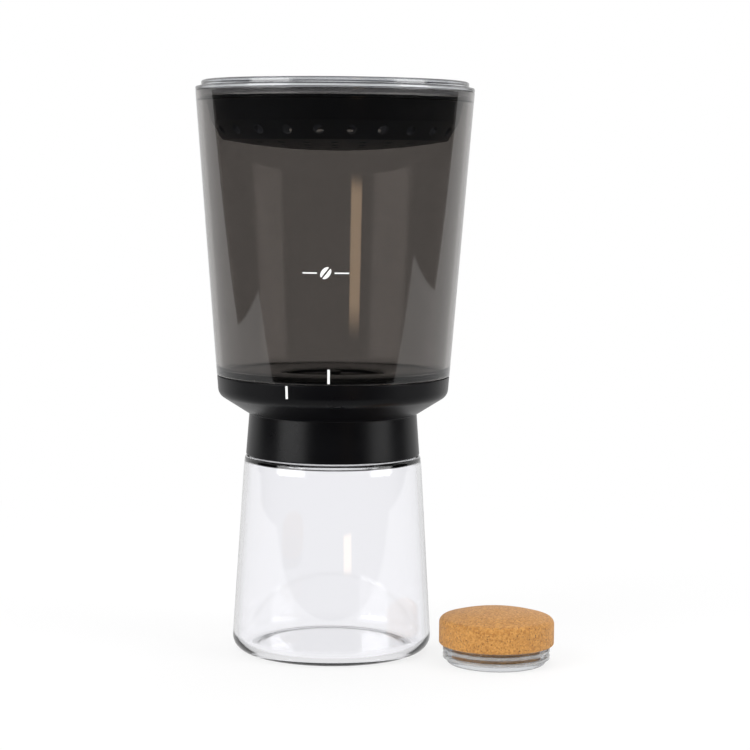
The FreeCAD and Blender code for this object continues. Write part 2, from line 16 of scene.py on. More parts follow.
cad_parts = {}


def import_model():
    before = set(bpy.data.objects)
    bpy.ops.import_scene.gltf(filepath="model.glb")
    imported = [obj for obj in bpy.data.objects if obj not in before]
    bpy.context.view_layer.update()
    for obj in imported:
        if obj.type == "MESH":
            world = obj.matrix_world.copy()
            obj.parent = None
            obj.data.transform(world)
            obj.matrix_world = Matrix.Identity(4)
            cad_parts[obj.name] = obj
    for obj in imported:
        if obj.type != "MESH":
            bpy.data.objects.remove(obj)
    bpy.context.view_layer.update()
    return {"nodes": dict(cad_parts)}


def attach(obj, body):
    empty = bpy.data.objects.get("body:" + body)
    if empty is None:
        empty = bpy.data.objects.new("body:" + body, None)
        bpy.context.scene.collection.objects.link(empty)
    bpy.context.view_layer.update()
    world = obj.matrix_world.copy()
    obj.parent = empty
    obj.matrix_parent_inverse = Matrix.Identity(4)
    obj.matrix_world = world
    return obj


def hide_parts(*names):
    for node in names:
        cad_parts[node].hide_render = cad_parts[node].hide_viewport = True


LOG = logging.getLogger("coffee_maker")

MM = 0.001
IMAGE_PIXELS = 750
SENSOR_MM = 36.0

# How finely the turned pieces are drawn: steps of a full turn, largest step of a rounding, distance of the points that
# hold a straight side flat, the shortest side that gets them, and how near points are merged.
TURN_STEPS = 192
ARC_STEP_DEG = 11.0
HOLD_MM = 0.25
LONG_SIDE_MM = 2.0
MERGE_M = 1e-6

# Printed marks: cuts across a patch, its gap to the wall and its thickness.
PATCH_CUTS = 3
INK_GAP_MM = 0.01
INK_MM = 0.05

Piece = bpy.types.Object
Profile = list[tuple[float, float]]


def linear(value: str) -> tuple[float, float, float, float]:
    """Turn an sRGB hex colour into the linear colour that shaders take.

    Args:
        value: Six hex digits.

    Returns:
        Linear red, green, blue and an alpha of one.
    """
    channels = [int(value[i:i + 2], 16) / 255.0 for i in (0, 2, 4)]
    red, green, blue = (c / 12.92 if c <= 0.04045 else ((c + 0.055) / 1.055) ** 2.4 for c in channels)
    return (red, green, blue, 1.0)


class Slot(str, Enum):
    """Names of the material slots."""

    GLASS = "clear_glass"
    COLLAR = "black_plastic"
    GASKET = "grey_silicone"
    CHAMBER = "smoke_plastic"
    SPRING = "spring_steel"
    VALVE = "white_acetal"
    MESH = "steel_mesh"
    DISH = "dish_plastic"
    LID = "clear_plastic"
    CORK = "cork"
    RINGS = "clear_silicone"


class Surface(Enum):
    """How a finish's surface was made, which sets its pattern."""

    CLEAR = "clear"
    MOULDED = "moulded"
    SANDED_CORK = "sanded cork"
    WOVEN = "woven"
    DRAWN = "drawn"


@dataclass(frozen=True)
class Finish:
    """What a material is and how it looks.

    grain_mm and depth_mm are the width and depth of its grain, of the waves in a clear wall or of its wires, relief is
    the share of that depth which shows, and spread is how far the roughness goes to both sides of its own.
    """

    name: str
    colour: str
    roughness: float
    surface: Surface = Surface.MOULDED
    ior: float = 1.5
    metallic: float = 0.0
    transmission: float = 0.0
    sheen: float = 0.0
    subsurface: float = 0.0
    specular: float = 0.5
    grain_mm: float = 0.5
    depth_mm: float = 0.01
    relief: float = 0.6
    spread: float = 0.05


# Borosilicate glass, blown: clear, with slow waves in its wall and no grain.
BLOWN_GLASS = Finish("borosilicate_glass_blown", "FBFBFD", 0.0, Surface.CLEAR, ior=1.47, transmission=1.0,
                     grain_mm=38.0, depth_mm=0.03, relief=1.0)
# Copolyester, moulded and smoke tinted: each wall takes out about 70% of the light, slightly warm.
SMOKE_PLASTIC = Finish("copolyester_smoke_tinted", "918D8A", 0.02, Surface.CLEAR, ior=1.54, transmission=1.0,
                       grain_mm=30.0, depth_mm=0.01, relief=1.0)
# Copolyester, moulded and clear: polished faces with sharp shines.
CLEAR_PLASTIC = Finish("copolyester_moulded_clear", "F0F2F5", 0.0, Surface.CLEAR, ior=1.54, transmission=1.0,
                       grain_mm=26.0, depth_mm=0.02, relief=1.0)
# Silicone, moulded and clear: milky, soft shine.
CLEAR_SILICONE = Finish("silicone_moulded_clear", "E9EAEA", 0.22, Surface.CLEAR, ior=1.41, transmission=0.75,
                        grain_mm=8.0, depth_mm=0.01, relief=1.0)
# ABS, moulded in a finely blasted tool: deep satin black, with a soft shine.
SATIN_ABS = Finish("abs_moulded_satin_black", "060608", 0.3, ior=1.53, specular=0.13, grain_mm=0.45, depth_mm=0.02,
                   spread=0.04)
# Polypropylene, moulded: near black with a blue cast, and a broader shine than the collar's.
DISH_PLASTIC = Finish("polypropylene_moulded_blue_black", "39414E", 0.42, ior=1.49, specular=0.8, grain_mm=0.6,
                      spread=0.04)
# Silicone, moulded and pigmented: matte mid grey.
GREY_SILICONE = Finish("silicone_moulded_grey", "A2A4A6", 0.55, ior=1.41, depth_mm=0.015)
# Acetal, moulded: waxy off white.
ACETAL = Finish("acetal_moulded_white", "E6E4DD", 0.38, ior=1.48, subsurface=0.05)
# Screen ink: thin flat white, slightly uneven in cover.
WHITE_INK = Finish("screen_ink_white", "F4F4F2", 0.5, grain_mm=0.4)
# Agglomerated cork, sanded: tan grains just under 1 mm across, with brown bark flecks and small pores.
CORK = Finish("cork_agglomerate_sanded", "CF9A55", 0.78, Surface.SANDED_CORK, ior=1.45, sheen=0.15, grain_mm=0.8,
              depth_mm=0.35, relief=0.8)
# Stainless wire cloth, woven: bright wires over dark gaps, at a coarser pitch than real so that it shows.
WIRE_CLOTH = Finish("stainless_wire_cloth_woven", "C9CACB", 0.32, Surface.WOVEN, metallic=1.0, grain_mm=1.2566,
                    depth_mm=0.15, relief=0.8)
# Spring steel, drawn: fine lines along the wire, and patches of duller steel.
SPRING_WIRE = Finish("spring_steel_drawn", "B4B5B7", 0.3, Surface.DRAWN, metallic=1.0, grain_mm=0.6, depth_mm=0.02,
                     relief=0.5, spread=0.12)

# Cork: its dark and pale grains, bark flecks with their width, and pores.
CORK_DARK = "AC7436"
CORK_PALE = "CF9850"
CORK_BARK = "8A5A26"
CORK_BARK_MM = 0.9
CORK_PORE = "5E3C1A"
# Wire cloth: the gaps between its wires.
CLOTH_GAP = "151515"
# Moulded parts: width of the cloudy patches where the tool left the surface a little duller or paler.
CLOUD_MM = 24.0
# Studio: its light, floor and warm strip, and the upper edge of a band that has none.
WHITE = "FFFFFF"
FLOOR_WHITE = "F2F2F2"
STRIP_TAN = "FFD9AE"
FAR = 1000.0
# How deep light goes into a waxy plastic.
WAX_MM = 1.5
# Radians of its wave that a wave texture of scale one gives to a metre.
WAVE_RADIANS = 20.0

Pattern = tuple[dict[str, Any], Any]


class Graph:
    """A node tree that is being built."""

    def __init__(self, owner: bpy.types.ID) -> None:
        """Start a material's or a world's nodes afresh."""
        owner.use_nodes = True
        self.tree = owner.node_tree
        self.tree.nodes.clear()

    def add(self, kind: str, inputs: dict[Any, Any] | None = None, out: str | int | None = None,
            **settings: Any) -> Any:
        """Add one node with its settings, values and links.

        Args:
            kind: The shader node's type name, without ShaderNode.
            inputs: Socket name or number to a value, or to another node's output socket.
            out: Name or number of the output socket to return.
            **settings: Attributes of the node itself.

        Returns:
            The output socket that out names, or the new node.
        """
        node = self.tree.nodes.new("ShaderNode" + kind)
        for name, value in settings.items():
            setattr(node, name, value)
        for name, value in (inputs or {}).items():
            if isinstance(value, bpy.types.NodeSocket):
                self.tree.links.new(value, node.inputs[name])
            else:
                node.inputs[name].default_value = value
        return node if out is None else node.outputs[out]

    def join(self, operation: str, first: Any, *others: Any) -> Any:
        """Join several values one after another.

        Args:
            operation: The arithmetic that joins them.
            first: First value or socket.
            *others: The others.

        Returns:
            The result socket.
        """
        for other in others:
            first = self.add("Math", {0: first, 1: other}, 0, operation=operation)
        return first

    def band(self, value: Any, low: float, high: float, soft: float) -> Any:
        """Mark a band with soft edges.

        Args:
            value: Socket with the value.
            low: Lower edge.
            high: Upper edge, or FAR.
            soft: Half the width of each edge.

        Returns:
            The socket that is 1 in the band and 0 outside.
        """
        above, past = (self.add("MapRange", {
            "Value": value, "From Min": edge - soft, "From Max": edge + soft}, "Result",
            interpolation_type="SMOOTHSTEP") for edge in (low, high))
        return self.join("MULTIPLY", above, self.join("SUBTRACT", 1.0, past))

    def azimuth(self, parts: Any) -> Any:
        """Find the angle round the upright axis, 0 at the front and growing to the right.

        Args:
            parts: Node with the separate coordinates.

        Returns:
            The angle's socket, in degrees.
        """
        front = self.join("MULTIPLY", parts.outputs[1], -1.0)
        turn = self.join("ARCTAN2", parts.outputs[0], front)
        return self.join("MULTIPLY", turn, 180.0 / math.pi)


class Palette:
    """Makes each material once and hands it out."""

    def __init__(self) -> None:
        """Start with no material."""
        self._made: dict[str, bpy.types.Material] = {}

    def material(self, finish: Finish) -> bpy.types.Material:
        """Hand out a finish's material, which is made when it is first asked for.

        Args:
            finish: The finish.

        Returns:
            The material.
        """
        if finish.name in self._made:
            return self._made[finish.name]
        material = bpy.data.materials.new(finish.name)
        material.diffuse_color = linear(finish.colour)
        graph = Graph(material)
        shader = graph.add("BsdfPrincipled", {
            "Base Color": linear(finish.colour),
            "Roughness": finish.roughness,
            "IOR": finish.ior,
            "Metallic": finish.metallic,
            "Transmission Weight": finish.transmission,
            "Sheen Weight": finish.sheen,
            "Subsurface Weight": finish.subsurface,
            "Subsurface Scale": WAX_MM * MM,
            "Specular IOR Level": finish.specular,
        })
        graph.add("OutputMaterial", {"Surface": shader.outputs["BSDF"]})
        place = graph.add("TexCoord", out="Object")
        draw = {
            Surface.CLEAR: self._clear,
            Surface.MOULDED: self._moulded,
            Surface.SANDED_CORK: self._sanded_cork,
            Surface.WOVEN: self._woven,
            Surface.DRAWN: self._drawn,
        }[finish.surface]
        links, height = draw(graph, place, finish)
        links["Normal"] = graph.add("Bump", {
            "Height": height, "Distance": finish.depth_mm * MM, "Strength": finish.relief}, "Normal")
        for name, socket in links.items():
            graph.tree.links.new(socket, shader.inputs[name])
        self._made[finish.name] = material
        return material

    # Each method below draws one kind of surface. It takes the graph, the socket with the Object coordinates and
    # the finish, and returns the sockets for the shader's inputs by name, and the socket with the height of the relief.

    @staticmethod
    def _clear(graph: Graph, place: Any, finish: Finish) -> Pattern:
        """Clear walls that are very slightly wavy."""
        size = 1.0 / (finish.grain_mm * MM)
        return {}, graph.add("TexNoise", {"Vector": place, "Scale": size, "Detail": 0.0}, "Fac")

    @staticmethod
    def _moulded(graph: Graph, place: Any, finish: Finish) -> Pattern:
        """The grain of a moulding tool, with cloudy patches a little duller and paler."""
        cloud = graph.add("TexNoise", {
            "Vector": place, "Scale": 1.0 / (CLOUD_MM * MM), "Detail": 3.0}, "Fac")
        rough = graph.add("MapRange", {
            "Value": cloud, "From Min": 0.3, "From Max": 0.7,
            "To Min": finish.roughness - finish.spread, "To Max": finish.roughness + finish.spread}, "Result")
        share = graph.add("MapRange", {"Value": cloud, "From Min": 0.35, "From Max": 0.75}, "Result")
        tone = linear(finish.colour)
        pale = tuple(min(1.0, c * 1.3 + 0.0006) for c in tone[:3]) + (1.0,)
        colour = graph.add("Mix", {0: share, 6: tone, 7: pale}, 2, data_type="RGBA")
        grain = graph.add("TexNoise", {
            "Vector": place, "Scale": 1.0 / (finish.grain_mm * MM), "Detail": 2.0}, "Fac")
        return {"Roughness": rough, "Base Color": colour}, grain

    @staticmethod
    def _sanded_cork(graph: Graph, place: Any, finish: Finish) -> Pattern:
        """Pale and dark grains under brown flecks, and pores that sink in."""
        size = 1.0 / (finish.grain_mm * MM)
        cells = graph.add("TexVoronoi", {"Vector": place, "Scale": size}, "Color")
        tone = graph.add("MapRange", {"Value": cells, "From Min": 0.1, "From Max": 0.9}, "Result")
        grains = graph.add("Mix", {0: tone, 6: linear(CORK_DARK), 7: linear(CORK_PALE)}, 2,
                          data_type="RGBA")
        bark = graph.add("TexNoise", {
            "Vector": place, "Scale": 1.0 / (CORK_BARK_MM * MM), "Detail": 4.0}, "Fac")
        fleck = graph.add("MapRange", {
            "Value": bark, "From Min": 0.6, "From Max": 0.7, "To Max": 0.75}, "Result")
        flecked = graph.add("Mix", {0: fleck, 6: grains, 7: linear(CORK_BARK)}, 2, data_type="RGBA")
        pores = graph.add("TexNoise", {"Vector": place, "Scale": size, "Detail": 2.0}, "Fac")
        pore = graph.add("MapRange", {
            "Value": pores, "From Min": 0.62, "From Max": 0.7, "To Max": 0.85}, "Result")
        colour = graph.add("Mix", {0: pore, 6: flecked, 7: linear(CORK_PORE)}, 2, data_type="RGBA")
        flat = graph.add("MapRange", {
            "Value": pores, "From Min": 0.58, "From Max": 0.7, "To Min": 1.0, "To Max": 0.0}, "Result")
        return {"Base Color": colour}, flat

    @staticmethod
    def _woven(graph: Graph, place: Any, finish: Finish) -> Pattern:
        """Bright wires both ways over dark gaps."""
        scale = math.tau / (WAVE_RADIANS * finish.grain_mm * MM)
        both = {number: graph.add("TexWave", {"Vector": place, "Scale": scale}, "Fac",
                                 bands_direction=way) for number, way in enumerate("XY")}
        wires = graph.add("Math", both, 0, operation="MAXIMUM")
        cover = graph.add("MapRange", {"Value": wires, "From Min": 0.35, "From Max": 0.75}, "Result")
        colour = graph.add("Mix", {0: cover, 6: linear(CLOTH_GAP), 7: linear(finish.colour)}, 2,
                          data_type="RGBA")
        return {"Base Color": colour}, wires

    @staticmethod
    def _drawn(graph: Graph, place: Any, finish: Finish) -> Pattern:
        """Fine lines and patches of duller steel."""
        lines = graph.add("TexNoise", {
            "Vector": place, "Scale": 1.0 / (finish.grain_mm * MM), "Detail": 5.0}, "Fac")
        rough = graph.add("MapRange", {
            "Value": lines, "From Min": 0.3, "From Max": 0.7,
            "To Min": finish.roughness - finish.spread, "To Max": finish.roughness + finish.spread}, "Result")
        return {"Roughness": rough}, lines


class Modeller:
    """Edit mode work that several pieces share."""

    @staticmethod
    def fresh() -> None:
        """Leave edit mode and deselect everything."""
        if bpy.context.object and bpy.context.object.mode != "OBJECT":
            bpy.ops.object.mode_set(mode="OBJECT")
        bpy.ops.object.select_all(action="DESELECT")

    @staticmethod
    def whole(step: Any, **settings: Any) -> None:
        """Select all in edit mode and run one operator on it with its settings."""
        bpy.ops.mesh.select_all(action="SELECT")
        step(**settings)

    @classmethod
    def pick(cls, piece: Piece) -> None:
        """Leave edit mode and select one piece alone."""
        cls.fresh()
        piece.select_set(True)
        bpy.context.view_layer.objects.active = piece

    @classmethod
    def modify(cls, piece: Piece, kind: str, **settings: Any) -> None:
        """Add a modifier to a piece and apply it.

        Args:
            piece: The piece.
            kind: The modifier's type.
            **settings: Its attributes.
        """
        cls.pick(piece)
        modifier = piece.modifiers.new(kind.lower(), kind)
        for name, value in settings.items():
            setattr(modifier, name, value)
        bpy.ops.object.modifier_apply(modifier=modifier.name)

    @staticmethod
    def round_off(corners: Sequence[Sequence[float]], closed: bool) -> Profile:
        """Turn corners into profile points, with arcs at the rounded ones and hold points beside them.

        Args:
            corners: (r, z) or (r, z, radius) in millimetres.
            closed: Whether the last corner joins the first.

        Returns:
            The profile's points in millimetres.
        """
        count = len(corners)
        points: Profile = []
        for i, corner in enumerate(corners):
            here = Vector((corner[0], corner[1]))
            inner = closed or 0 < i < count - 1
            if len(corner) < 3 or not inner:
                points.append((here.x, here.y))
                continue
            back = (Vector(corners[i - 1][:2]) - here).normalized()
            ahead = (Vector(corners[(i + 1) % count][:2]) - here).normalized()
            half = back.angle(ahead) / 2.0
            reach = corner[2] / math.tan(half)
            centre = here + (back + ahead).normalized() * (corner[2] / math.sin(half))
            start = here + back * reach - centre
            end = here + ahead * reach - centre
            turn = start.angle(end)
            steps = max(2, math.ceil(math.degrees(turn) / ARC_STEP_DEG))
            for k in range(steps + 1):
                share = k / steps
                mix = (start * math.sin((1 - share) * turn) + end * math.sin(share * turn)) / math.sin(turn)
                points.append((centre.x + mix.x, centre.y + mix.y))
        held: Profile = []
        total = len(points)
        for i, spot in enumerate(points):
            held.append(spot)
            if i == total - 1 and not closed:
                break
            a, b = Vector(spot), Vector(points[(i + 1) % total])
            length = (b - a).length
            if length > LONG_SIDE_MM:
                way = (b - a).normalized() * HOLD_MM
                held += [(a.x + way.x, a.y + way.y), (b.x - way.x, b.y - way.y)]
        return held

    @classmethod
    def turned(cls, name: str, corners: Sequence[Sequence[float]], centre: tuple[float, float] = (0.0, 0.0),
               closed: bool = False) -> Piece:
        """Draw a half section by extruding a point along it, and spin it round an upright axis.

        Args:
            name: Name of the piece.
            corners: Corners of the half section, as round_off takes them.
            centre: Where the axis stands, in millimetres.
            closed: Whether the section is a loop clear of the axis.

        Returns:
            The piece in object mode.
        """
        profile = cls.round_off(corners, closed)
        if closed:
            profile.append(profile[0])
        cls.fresh()
        start = Vector((centre[0] + profile[0][0], centre[1], profile[0][1])) * MM
        bpy.ops.mesh.primitive_plane_add(size=MM, location=(0, 0, 0))
        piece = bpy.context.object
        piece.name = name
        piece.data.name = name
        bpy.ops.object.mode_set(mode="EDIT")
        cls.whole(bpy.ops.mesh.merge, type="CENTER")
        bpy.ops.transform.translate(value=start)
        for (r0, z0), (r1, z1) in zip(profile, profile[1:]):
            step = Vector((r1 - r0, 0.0, z1 - z0)) * MM
            bpy.ops.mesh.extrude_vertices_move(TRANSFORM_OT_translate={"value": step})
        if closed:
            cls.whole(bpy.ops.mesh.remove_doubles, threshold=MERGE_M)
        middle = (centre[0] * MM, centre[1] * MM, 0.0)
        cls.whole(bpy.ops.mesh.spin, steps=TURN_STEPS, angle=math.tau, center=middle, axis=(0, 0, 1))
        cls.whole(bpy.ops.mesh.remove_doubles, threshold=MERGE_M)
        cls.whole(bpy.ops.mesh.normals_make_consistent, inside=False)
        cls.settle(piece)
        return piece

    @classmethod
    def settle(cls, piece: Piece, smooth_deg: float = 32.0) -> None:
        """Leave edit mode, put the place into the mesh and shade faces smooth up to an angle.

        Args:
            piece: The piece.
            smooth_deg: Largest angle between faces that stay smooth.
        """
        cls.pick(piece)
        bpy.ops.object.transform_apply(location=True, rotation=True, scale=True)
        bpy.ops.object.shade_smooth_by_angle(angle=math.radians(smooth_deg))

    @staticmethod
    def oblong(width_mm: float, height_mm: float) -> Profile:
        """Outline of an upright or lying line.

        Args:
            width_mm: Its width.
            height_mm: Its height.

        Returns:
            The outline's corners in millimetres, round its middle.
        """
        half, tall = width_mm / 2.0, height_mm / 2.0
        return [(-half, -tall), (half, -tall), (half, tall), (-half, tall)]

    @classmethod
    def patch(cls, name: str, corners: Sequence[tuple[float, float]], wall: Piece, azimuth_deg: float,
              height_mm: float, wall_r_mm: float) -> Piece:
        """Lay a thin flat shape on a wall, as ink.

        Args:
            name: Name of the piece.
            corners: Outline in millimetres, right and up from its middle, convex.
            wall: The piece it lies on.
            azimuth_deg: Where it is round the axis, 0 at the front and growing to the right.
            height_mm: Height of its middle.
            wall_r_mm: Radius of the wall there.

        Returns:
            The piece in object mode.
        """
        cls.fresh()
        bpy.ops.mesh.primitive_circle_add(vertices=len(corners), radius=MM, fill_type="NGON")
        piece = bpy.context.object
        piece.name = name
        piece.data.name = name
        for vertex, (x, z) in zip(piece.data.vertices, corners):
            vertex.co = Vector((x, -wall_r_mm, height_mm + z)) * MM
        bpy.ops.object.mode_set(mode="EDIT")
        cls.whole(bpy.ops.mesh.quads_convert_to_tris, quad_method="BEAUTY", ngon_method="BEAUTY")
        bpy.ops.mesh.subdivide(number_cuts=PATCH_CUTS)
        cls.whole(bpy.ops.transform.rotate, value=-math.radians(azimuth_deg), orient_axis="Z",
                  center_override=(0, 0, 0))
        cls.whole(bpy.ops.mesh.normals_make_consistent, inside=False)
        cls.modify(piece, "SHRINKWRAP", target=wall, wrap_method="NEAREST_SURFACEPOINT", offset=INK_GAP_MM * MM,
                   wrap_mode="OUTSIDE_SURFACE")
        cls.modify(piece, "SOLIDIFY", thickness=INK_MM * MM, offset=1.0)
        bpy.ops.object.mode_set(mode="EDIT")
        cls.whole(bpy.ops.mesh.normals_make_consistent, inside=False)
        cls.settle(piece)
        return piece


class SubAssembly:
    """A group of pieces that ride on the frame's bodies."""

    def __init__(self, palette: Palette, size: Any = None) -> None:
        """Take the palette and the sizes."""
        self.palette = palette
        self.size = size

    def build(self) -> None:
        """Model and dress its pieces."""
        raise NotImplementedError

    def keep(self, piece: Piece, finish: Finish, body: str, slot: Slot, *replaces: str) -> None:
        """Finish a piece: its material, its body and the nodes it stands for.

        Args:
            piece: The piece.
            finish: Its finish.
            body: The frame body it rides on.
            slot: Not used.
            *replaces: Names of the nodes it stands for.
        """
        material = self.palette.material(finish)
        piece.data.materials.clear()
        piece.data.materials.append(material)
        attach(piece, body)
        if replaces:
            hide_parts(*replaces)
        LOG.info("%s on %s: %d faces, %s", piece.name, body, len(piece.data.polygons), material.name)


@dataclass
class CarafeSizes:
    """Sizes of the carafe in millimetres."""

    foot_r: float = 48.0
    shoulder_r: float = 42.2
    shoulder_z: float = 93.6
    neck_r: float = 28.4
    neck_z: float = 96.0
    bore_r: float = 25.5
    top_z: float = 110.0
    lip: float = 1.8
    lip_height: float = 3.0
    wall: float = 2.2
    base: float = 3.0
    punt: float = 0.9
    punt_r: float = 34.56
    punt_round: float = 20.0
    stand_r: float = 38.4
    foot_round: float = 7.0
    lean_z: float = 89.4
    lean_top_r: float = 41.9
    lean_round: float = 12.0
    shoulder_round: float = 1.4


class Carafe(SubAssembly):
    """The blown glass carafe."""

    size: CarafeSizes

    def build(self) -> None:
        """Model the glass."""
        size = self.size
        slope = (size.foot_r - size.shoulder_r) / size.shoulder_z
        inner_z = size.shoulder_z - size.wall
        lean_r = size.foot_r - slope * size.lean_z
        foot_in = size.foot_r - slope * size.base - size.wall
        lip_z = size.top_z - size.lip_height
        glass = Modeller.turned("carafe", [
            (0.0, size.punt),
            (size.punt_r, size.punt, size.punt_round),
            (size.stand_r, 0.0, 3.0),
            (size.foot_r, 0.0, size.foot_round),
            (lean_r, size.lean_z, size.lean_round),
            (size.lean_top_r, size.shoulder_z, size.shoulder_round),
            (size.neck_r, size.neck_z, 1.0),
            (size.neck_r, lip_z, 1.0),
            (size.neck_r + size.lip, lip_z + size.lip, 0.6),
            (size.neck_r + size.lip, size.top_z, 0.8),
            (size.bore_r, size.top_z, 0.8),
            (size.bore_r, size.neck_z - size.wall, 2.0),
            (size.lean_top_r - size.wall, inner_z, size.shoulder_round / 2.0),
            (lean_r - size.wall, size.lean_z, size.lean_round),
            (foot_in, size.base, size.foot_round - size.wall),
            (0.0, size.base),
        ])
        self.keep(glass, BLOWN_GLASS, "carafe", Slot.GLASS, "carafe_glass")


@dataclass
class CollarSizes:
    """Sizes of the collar in millimetres."""

    skirt_z: float = 94.4
    skirt_bottom_r: float = 41.5
    skirt_top_r: float = 40.0
    skirt_top_z: float = 114.1
    cone_r: float = 41.9
    cone_z: float = 115.2
    corner_r: float = 54.7
    corner_z: float = 123.3
    corner_round: float = 5.0
    drum_r: float = 55.4
    joint_z: float = 132.2
    wall: float = 2.2
    shelf_z: float = 123.7
    shelf_r: float = 45.5
    ledge_z: float = 115.5
    ledge_r: float = 36.6
    rib: float = 2.0
    mark_width: float = 1.1
    mark_azimuth: float = -22.6
    mark_low_z: float = 125.7
    mark_high_z: float = 131.7


class Collar(SubAssembly):
    """The black collar shell and its alignment mark."""

    size: CollarSizes

    def build(self) -> None:
        """Model the shell and the mark."""
        size = self.size
        bore = size.drum_r - size.wall
        slope = (size.corner_z - size.cone_z) / (size.corner_r - size.cone_r)
        lift = size.wall * math.hypot(1.0, slope)

        def inner_cone(z: float) -> float:
            """Radius of the cone's inner side at a height."""
            return size.cone_r + (z - size.cone_z - lift) / slope

        shell = Modeller.turned("collar_shell_dressed", [
            (size.skirt_bottom_r, size.skirt_z, 0.5),
            (size.skirt_top_r, size.skirt_top_z, 0.35),
            (size.cone_r, size.cone_z, 0.5),
            (size.corner_r, size.corner_z, size.corner_round),
            (size.drum_r, size.joint_z, 0.45),
            (bore, size.joint_z, 0.4),
            (bore, size.shelf_z),
            (size.shelf_r, size.shelf_z, 0.3),
            (size.shelf_r, size.shelf_z - size.rib),
            (inner_cone(size.shelf_z - size.rib), size.shelf_z - size.rib),
            (inner_cone(size.ledge_z), size.ledge_z),
            (size.ledge_r, size.ledge_z, 0.3),
            (size.ledge_r, size.ledge_z - size.rib),
            (size.skirt_top_r - size.wall, size.ledge_z - size.rib),
            (size.skirt_bottom_r - size.wall, size.skirt_z, 0.4),
        ], closed=True)
        self.keep(shell, SATIN_ABS, "collar", Slot.COLLAR, "collar_shell")
        line = Modeller.oblong(size.mark_width, size.mark_high_z - size.mark_low_z)
        mark = Modeller.patch("collar_mark", line, shell, size.mark_azimuth,
                              (size.mark_low_z + size.mark_high_z) / 2.0, size.drum_r)
        self.keep(mark, WHITE_INK, "collar", Slot.VALVE)


@dataclass
class ChamberSizes:
    """Sizes of the brew chamber in millimetres."""

    bottom_z: float = 132.5
    bottom_r: float = 55.5
    rim_z: float = 266.5
    rim_r: float = 65.9
    wall: float = 2.6
    rim_wall: float = 1.6
    rim_depth: float = 4.5
    floor_top: float = 133.7
    floor: float = 2.5
    well_r: float = 24.8
    well_z: float = 129.8
    cup_r: float = 18.0
    seat_z: float = 125.6
    drain_r: float = 5.5
    under_z: float = 123.9
    cup_wall: float = 1.7
    spigot_r: float = 52.9
    spigot_wall: float = 2.4
    spigot_z: float = 125.3
    mark_width: float = 1.1
    mark_height: float = 6.6
    mark_z: float = 136.5
    mark_azimuth: float = -2.2
    fill_z: float = 183.6
    dash_width: float = 6.6
    dash_height: float = 0.6
    dash_azimuths: tuple[float, float] = (-10.6, 3.4)
    bean_azimuth: float = -3.6
    bean_long: float = 2.95
    bean_wide: float = 1.9
    bean_split: float = 0.2
    bean_lean_deg: float = 52.0
    bean_end_deg: float = 6.0
    bean_steps: int = 14


class Chamber(SubAssembly):
    """The smoke tinted chamber, its fill line and its alignment mark."""

    size: ChamberSizes

    def build(self) -> None:
        """Model the chamber and its printed marks."""
        size = self.size
        slope = (size.rim_r - size.bottom_r) / (size.rim_z - size.bottom_z)
        across = size.wall * math.hypot(1.0, slope)

        def inner(z: float) -> float:
            """Radius of the chamber's inner side at a height."""
            return size.bottom_r + slope * (z - size.bottom_z) - across

        ledge = size.rim_z - size.rim_depth
        bore = size.rim_r - size.rim_wall
        shell = Modeller.turned("chamber", [
            (size.bottom_r, size.bottom_z, 0.5),
            (size.rim_r, size.rim_z, 0.5),
            (bore, size.rim_z, 0.4),
            (bore - slope * size.rim_depth, ledge, 0.3),
            (inner(ledge), ledge, 0.4),
            (inner(size.floor_top), size.floor_top, 4.0),
            (size.well_r, size.floor_top, 0.6),
            (size.well_r, size.well_z, 0.4),
            (size.cup_r, size.well_z, 0.5),
            (size.cup_r, size.seat_z, 1.0),
            (size.drain_r, size.seat_z, 0.4),
            (size.drain_r, size.under_z, 0.4),
            (size.cup_r + size.cup_wall, size.under_z, 1.0),
            (size.cup_r + size.cup_wall, size.well_z - size.cup_wall, 0.4),
            (size.well_r + size.cup_wall, size.well_z - size.cup_wall, 0.6),
            (size.well_r + size.cup_wall, size.floor_top - size.floor, 0.6),
            (size.spigot_r - size.spigot_wall, size.floor_top - size.floor, 0.6),
            (size.spigot_r - size.spigot_wall, size.spigot_z, 0.4),
            (size.spigot_r, size.spigot_z, 0.4),
            (size.spigot_r, size.bottom_z),
        ], closed=True)
        self.keep(shell, SMOKE_PLASTIC, "chamber", Slot.CHAMBER, "brew_chamber")
        fill_r = inner(size.fill_z) + across
        line = Modeller.oblong(size.mark_width, size.mark_height)
        mark = Modeller.patch("chamber_mark", line, shell, size.mark_azimuth, size.mark_z, size.bottom_r)
        self.keep(mark, WHITE_INK, "chamber", Slot.VALVE)
        dash = Modeller.oblong(size.dash_width, size.dash_height)
        for side, azimuth in zip(("left", "right"), size.dash_azimuths):
            piece = Modeller.patch("fill_line_" + side, dash, shell, azimuth, size.fill_z, fill_r)
            self.keep(piece, WHITE_INK, "chamber", Slot.VALVE)
        for side, sign in (("upper", 1.0), ("lower", -1.0)):
            piece = Modeller.patch("bean_" + side, self.half_bean(sign), shell, size.bean_azimuth, size.fill_z,
                                   fill_r)
            self.keep(piece, WHITE_INK, "chamber", Slot.VALVE)

    def half_bean(self, sign: float) -> Profile:
        """Outline of one half of a coffee bean that leans to the right.

        Args:
            sign: 1 for the upper half and -1 for the lower.

        Returns:
            The outline's points in millimetres.
        """
        size = self.size
        lean = Matrix.Rotation(math.radians(size.bean_lean_deg), 2)
        points = []
        for k in range(size.bean_steps + 1):
            turn = math.radians(size.bean_end_deg + (180.0 - 2.0 * size.bean_end_deg) * k / size.bean_steps)
            wide = size.bean_wide * math.sin(turn) + size.bean_split
            spot = lean @ Vector((size.bean_long * math.cos(turn), sign * wide))
            points.append((spot.x, spot.y))
        return points if sign > 0 else points[::-1]


